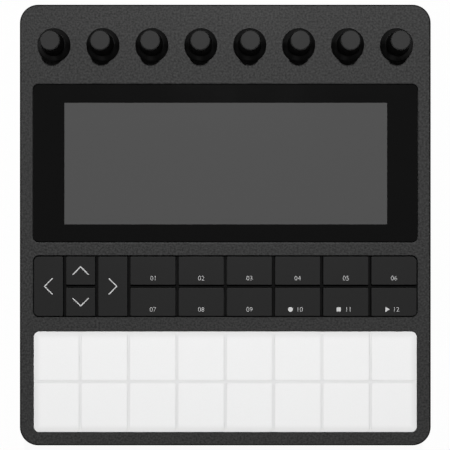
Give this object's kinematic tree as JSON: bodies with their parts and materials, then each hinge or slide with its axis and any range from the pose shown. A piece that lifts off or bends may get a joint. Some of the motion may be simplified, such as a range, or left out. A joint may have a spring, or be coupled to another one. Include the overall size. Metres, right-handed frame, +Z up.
{
  "type": "groovebox",
  "caption": "Flat desktop music box with a wide flush screen, a row of ribbed endless knobs, a strip of flat keys and rows of square white pads that press down.",
  "frame": {"origin": "on the table under the middle of the box", "axes": "+Z up, +Y from the player to the rear edge with the knobs and connectors, +X to the right"},
  "size_m": [0.2074, 0.2226, 0.0445],
  "materials": {
    "case_plastic": "dark grey plastic with a fine moulded grain",
    "foot_rubber": "black rubber",
    "dark_steel": "blackened steel",
    "screen_glass": "black-bordered glass over a grey display",
    "display": "grey display face",
    "ribbon": "amber film",
    "board": "green solder mask",
    "battery_wrap": "blue shrink film",
    "encoder_metal": "zinc-plated metal",
    "key_frame_plastic": "black plastic",
    "key_plastic": "smooth dark grey plastic",
    "switch_plastic": "black plastic",
    "pad_silicone": "white silicone rubber",
    "sensor_film": "printed film",
    "rear_plate": "black powder coat",
    "jack_plastic": "black plastic",
    "socket_metal": "nickel-plated shell",
    "knob_plastic": "soft-touch black plastic"
  },
  "bodies": {
    "case": {"top_case": "case_plastic", "bottom_cover": "case_plastic", "rubber_feet": "foot_rubber", "screws": "dark_steel", "screen_glass": "screen_glass", "display_panel": "display", "display_ribbon": "ribbon", "main_board": "board", "battery": "battery_wrap", "encoder_bodies": "encoder_metal", "key_frame": "key_frame_plastic", "key_switches": "switch_plastic", "pad_frame": "pad_silicone", "pad_sensor": "sensor_film", "rear_panel": "rear_plate", "rear_jacks": "jack_plastic", "usb_socket": "socket_metal", "card_slot": "socket_metal", "power_switch": "switch_plastic"},
    "knob_1": {"knob_1": "knob_plastic"},
    "knob_2": {"knob_2": "knob_plastic"},
    "knob_3": {"knob_3": "knob_plastic"},
    "knob_4": {"knob_4": "knob_plastic"},
    "knob_5": {"knob_5": "knob_plastic"},
    "knob_6": {"knob_6": "knob_plastic"},
    "knob_7": {"knob_7": "knob_plastic"},
    "knob_8": {"knob_8": "knob_plastic"},
    "key_left": {"key_left": "key_plastic"},
    "key_up": {"key_up": "key_plastic"},
    "key_down": {"key_down": "key_plastic"},
    "key_right": {"key_right": "key_plastic"},
    "function_key_01": {"function_key_01": "key_plastic"},
    "function_key_02": {"function_key_02": "key_plastic"},
    "function_key_03": {"function_key_03": "key_plastic"},
    "function_key_04": {"function_key_04": "key_plastic"},
    "function_key_05": {"function_key_05": "key_plastic"},
    "function_key_06": {"function_key_06": "key_plastic"},
    "function_key_07": {"function_key_07": "key_plastic"},
    "function_key_08": {"function_key_08": "key_plastic"},
    "function_key_09": {"function_key_09": "key_plastic"},
    "function_key_10": {"function_key_10": "key_plastic"},
    "function_key_11": {"function_key_11": "key_plastic"},
    "function_key_12": {"function_key_12": "key_plastic"},
    "pad_01": {"pad_01": "pad_silicone"},
    "pad_02": {"pad_02": "pad_silicone"},
    "pad_03": {"pad_03": "pad_silicone"},
    "pad_04": {"pad_04": "pad_silicone"},
    "pad_05": {"pad_05": "pad_silicone"},
    "pad_06": {"pad_06": "pad_silicone"},
    "pad_07": {"pad_07": "pad_silicone"},
    "pad_08": {"pad_08": "pad_silicone"},
    "pad_09": {"pad_09": "pad_silicone"},
    "pad_10": {"pad_10": "pad_silicone"},
    "pad_11": {"pad_11": "pad_silicone"},
    "pad_12": {"pad_12": "pad_silicone"},
    "pad_13": {"pad_13": "pad_silicone"},
    "pad_14": {"pad_14": "pad_silicone"},
    "pad_15": {"pad_15": "pad_silicone"},
    "pad_16": {"pad_16": "pad_silicone"},
    "power_button": {"power_button": "knob_plastic"}
  },
  "joints": [
    {"name": "knob_1_turn", "type": "hinge", "parent": "case", "child": "knob_1", "pos_m": [-0.08624, 0.0908, 0.03], "axis": [0, 0, 1], "continuous": true},
    {"name": "knob_2_turn", "type": "hinge", "parent": "case", "child": "knob_2", "pos_m": [-0.0616, 0.0908, 0.03], "axis": [0, 0, 1], "continuous": true},
    {"name": "knob_3_turn", "type": "hinge", "parent": "case", "child": "knob_3", "pos_m": [-0.03696, 0.0908, 0.03], "axis": [0, 0, 1], "continuous": true},
    {"name": "knob_4_turn", "type": "hinge", "parent": "case", "child": "knob_4", "pos_m": [-0.01232, 0.0908, 0.03], "axis": [0, 0, 1], "continuous": true},
    {"name": "knob_5_turn", "type": "hinge", "parent": "case", "child": "knob_5", "pos_m": [0.01232, 0.0908, 0.03], "axis": [0, 0, 1], "continuous": true},
    {"name": "knob_6_turn", "type": "hinge", "parent": "case", "child": "knob_6", "pos_m": [0.03696, 0.0908, 0.03], "axis": [0, 0, 1], "continuous": true},
    {"name": "knob_7_turn", "type": "hinge", "parent": "case", "child": "knob_7", "pos_m": [0.0616, 0.0908, 0.03], "axis": [0, 0, 1], "continuous": true},
    {"name": "knob_8_turn", "type": "hinge", "parent": "case", "child": "knob_8", "pos_m": [0.08624, 0.0908, 0.03], "axis": [0, 0, 1], "continuous": true},
    {"name": "key_left_press", "type": "slide", "parent": "case", "child": "key_left", "axis": [0, 0, -1], "range_m": [0, 0.001], "stiffness_N_per_m": 300, "springref_m": -0.002},
    {"name": "key_up_press", "type": "slide", "parent": "case", "child": "key_up", "axis": [0, 0, -1], "range_m": [0, 0.001], "stiffness_N_per_m": 300, "springref_m": -0.002},
    {"name": "key_down_press", "type": "slide", "parent": "case", "child": "key_down", "axis": [0, 0, -1], "range_m": [0, 0.001], "stiffness_N_per_m": 300, "springref_m": -0.002},
    {"name": "key_right_press", "type": "slide", "parent": "case", "child": "key_right", "axis": [0, 0, -1], "range_m": [0, 0.001], "stiffness_N_per_m": 300, "springref_m": -0.002},
    {"name": "function_key_01_press", "type": "slide", "parent": "case", "child": "function_key_01", "axis": [0, 0, -1], "range_m": [0, 0.001], "stiffness_N_per_m": 300, "springref_m": -0.002},
    {"name": "function_key_02_press", "type": "slide", "parent": "case", "child": "function_key_02", "axis": [0, 0, -1], "range_m": [0, 0.001], "stiffness_N_per_m": 300, "springref_m": -0.002},
    {"name": "function_key_03_press", "type": "slide", "parent": "case", "child": "function_key_03", "axis": [0, 0, -1], "range_m": [0, 0.001], "stiffness_N_per_m": 300, "springref_m": -0.002},
    {"name": "function_key_04_press", "type": "slide", "parent": "case", "child": "function_key_04", "axis": [0, 0, -1], "range_m": [0, 0.001], "stiffness_N_per_m": 300, "springref_m": -0.002},
    {"name": "function_key_05_press", "type": "slide", "parent": "case", "child": "function_key_05", "axis": [0, 0, -1], "range_m": [0, 0.001], "stiffness_N_per_m": 300, "springref_m": -0.002},
    {"name": "function_key_06_press", "type": "slide", "parent": "case", "child": "function_key_06", "axis": [0, 0, -1], "range_m": [0, 0.001], "stiffness_N_per_m": 300, "springref_m": -0.002},
    {"name": "function_key_07_press", "type": "slide", "parent": "case", "child": "function_key_07", "axis": [0, 0, -1], "range_m": [0, 0.001], "stiffness_N_per_m": 300, "springref_m": -0.002},
    {"name": "function_key_08_press", "type": "slide", "parent": "case", "child": "function_key_08", "axis": [0, 0, -1], "range_m": [0, 0.001], "stiffness_N_per_m": 300, "springref_m": -0.002},
    {"name": "function_key_09_press", "type": "slide", "parent": "case", "child": "function_key_09", "axis": [0, 0, -1], "range_m": [0, 0.001], "stiffness_N_per_m": 300, "springref_m": -0.002},
    {"name": "function_key_10_press", "type": "slide", "parent": "case", "child": "function_key_10", "axis": [0, 0, -1], "range_m": [0, 0.001], "stiffness_N_per_m": 300, "springref_m": -0.002},
    {"name": "function_key_11_press", "type": "slide", "parent": "case", "child": "function_key_11", "axis": [0, 0, -1], "range_m": [0, 0.001], "stiffness_N_per_m": 300, "springref_m": -0.002},
    {"name": "function_key_12_press", "type": "slide", "parent": "case", "child": "function_key_12", "axis": [0, 0, -1], "range_m": [0, 0.001], "stiffness_N_per_m": 300, "springref_m": -0.002},
    {"name": "pad_01_press", "type": "slide", "parent": "case", "child": "pad_01", "axis": [0, 0, -1], "range_m": [0, 0.0008], "stiffness_N_per_m": 800, "springref_m": -0.0012},
    {"name": "pad_02_press", "type": "slide", "parent": "case", "child": "pad_02", "axis": [0, 0, -1], "range_m": [0, 0.0008], "stiffness_N_per_m": 800, "springref_m": -0.0012},
    {"name": "pad_03_press", "type": "slide", "parent": "case", "child": "pad_03", "axis": [0, 0, -1], "range_m": [0, 0.0008], "stiffness_N_per_m": 800, "springref_m": -0.0012},
    {"name": "pad_04_press", "type": "slide", "parent": "case", "child": "pad_04", "axis": [0, 0, -1], "range_m": [0, 0.0008], "stiffness_N_per_m": 800, "springref_m": -0.0012},
    {"name": "pad_05_press", "type": "slide", "parent": "case", "child": "pad_05", "axis": [0, 0, -1], "range_m": [0, 0.0008], "stiffness_N_per_m": 800, "springref_m": -0.0012},
    {"name": "pad_06_press", "type": "slide", "parent": "case", "child": "pad_06", "axis": [0, 0, -1], "range_m": [0, 0.0008], "stiffness_N_per_m": 800, "springref_m": -0.0012},
    {"name": "pad_07_press", "type": "slide", "parent": "case", "child": "pad_07", "axis": [0, 0, -1], "range_m": [0, 0.0008], "stiffness_N_per_m": 800, "springref_m": -0.0012},
    {"name": "pad_08_press", "type": "slide", "parent": "case", "child": "pad_08", "axis": [0, 0, -1], "range_m": [0, 0.0008], "stiffness_N_per_m": 800, "springref_m": -0.0012},
    {"name": "pad_09_press", "type": "slide", "parent": "case", "child": "pad_09", "axis": [0, 0, -1], "range_m": [0, 0.0008], "stiffness_N_per_m": 800, "springref_m": -0.0012},
    {"name": "pad_10_press", "type": "slide", "parent": "case", "child": "pad_10", "axis": [0, 0, -1], "range_m": [0, 0.0008], "stiffness_N_per_m": 800, "springref_m": -0.0012},
    {"name": "pad_11_press", "type": "slide", "parent": "case", "child": "pad_11", "axis": [0, 0, -1], "range_m": [0, 0.0008], "stiffness_N_per_m": 800, "springref_m": -0.0012},
    {"name": "pad_12_press", "type": "slide", "parent": "case", "child": "pad_12", "axis": [0, 0, -1], "range_m": [0, 0.0008], "stiffness_N_per_m": 800, "springref_m": -0.0012},
    {"name": "pad_13_press", "type": "slide", "parent": "case", "child": "pad_13", "axis": [0, 0, -1], "range_m": [0, 0.0008], "stiffness_N_per_m": 800, "springref_m": -0.0012},
    {"name": "pad_14_press", "type": "slide", "parent": "case", "child": "pad_14", "axis": [0, 0, -1], "range_m": [0, 0.0008], "stiffness_N_per_m": 800, "springref_m": -0.0012},
    {"name": "pad_15_press", "type": "slide", "parent": "case", "child": "pad_15", "axis": [0, 0, -1], "range_m": [0, 0.0008], "stiffness_N_per_m": 800, "springref_m": -0.0012},
    {"name": "pad_16_press", "type": "slide", "parent": "case", "child": "pad_16", "axis": [0, 0, -1], "range_m": [0, 0.0008], "stiffness_N_per_m": 800, "springref_m": -0.0012},
    {"name": "power_button_press", "type": "slide", "parent": "case", "child": "power_button", "axis": [0, -1, 0], "range_m": [0, 0.0007], "stiffness_N_per_m": 50, "springref_m": -0.006}
  ]
}
